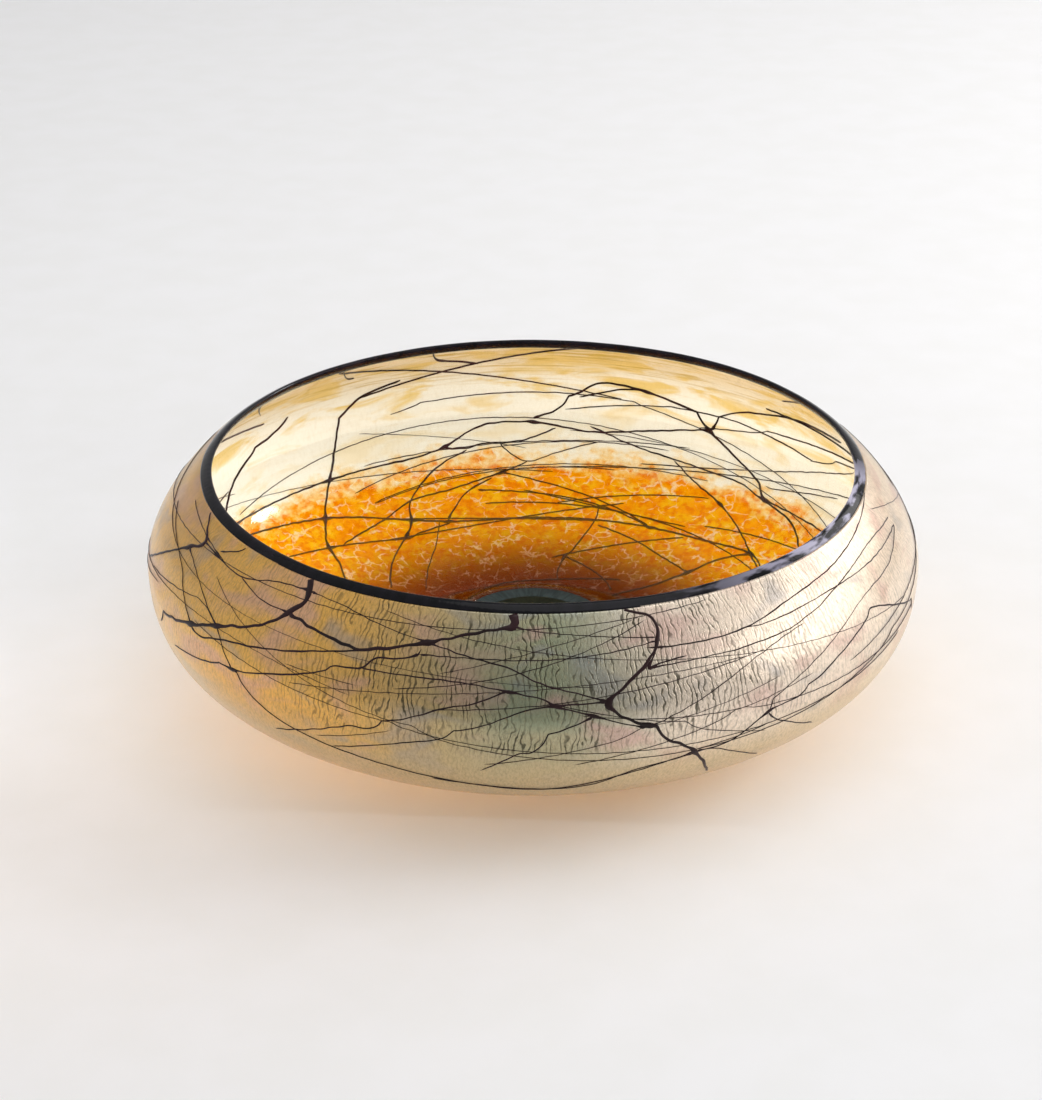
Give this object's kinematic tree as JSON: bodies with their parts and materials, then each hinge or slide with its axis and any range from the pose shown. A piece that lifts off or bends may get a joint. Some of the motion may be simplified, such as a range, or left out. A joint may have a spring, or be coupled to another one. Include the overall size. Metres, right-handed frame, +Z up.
{
  "type": "art glass bowl",
  "caption": "Wide, low blown-glass bowl with a turned-in shoulder, for display or for holding fruit, flowers or keepsakes.",
  "frame": {"origin": "middle of the resting plane, on the bowl's axis", "axes": "+Z up along the bowl's axis; -Y is the side that the picture looks at, +X is its right"},
  "size_m": [0.25, 0.2501, 0.076],
  "materials": {
    "clear_glass": "clear, polished",
    "amber_glass": "mottled amber patches between pale veins",
    "luster_glass": "silver-gold iridescent lustre with fine upright crackle",
    "black_glass": "fire polished",
    "smoke_glass": "smoky, polished",
    "button_glass": "dark olive, polished",
    "trail_glass": "dark brown-black threads, glossy"
  },
  "bodies": {
    "root": {"clear_gather": "clear_glass", "amber_frit": "amber_glass", "silver_skin": "luster_glass", "foot_casing": "clear_glass", "lip_wrap": "black_glass", "base_ring": "smoke_glass", "base_button": "button_glass", "trail_west_rim": "trail_glass", "trail_west_drip": "trail_glass", "trail_west_band": "trail_glass", "trail_front_drip": "trail_glass", "trail_front_sweep": "trail_glass", "trail_front_band": "trail_glass", "trail_low_loop": "trail_glass", "trail_east_drip": "trail_glass", "trail_east_rise": "trail_glass", "trail_east_arm": "trail_glass", "trail_back_left": "trail_glass", "trail_back_drop": "trail_glass", "trail_back_arch": "trail_glass", "trail_back_wave": "trail_glass", "trail_back_slope": "trail_glass", "trail_back_belt": "trail_glass", "trail_floor_arc": "trail_glass"}
  },
  "joints": []
}
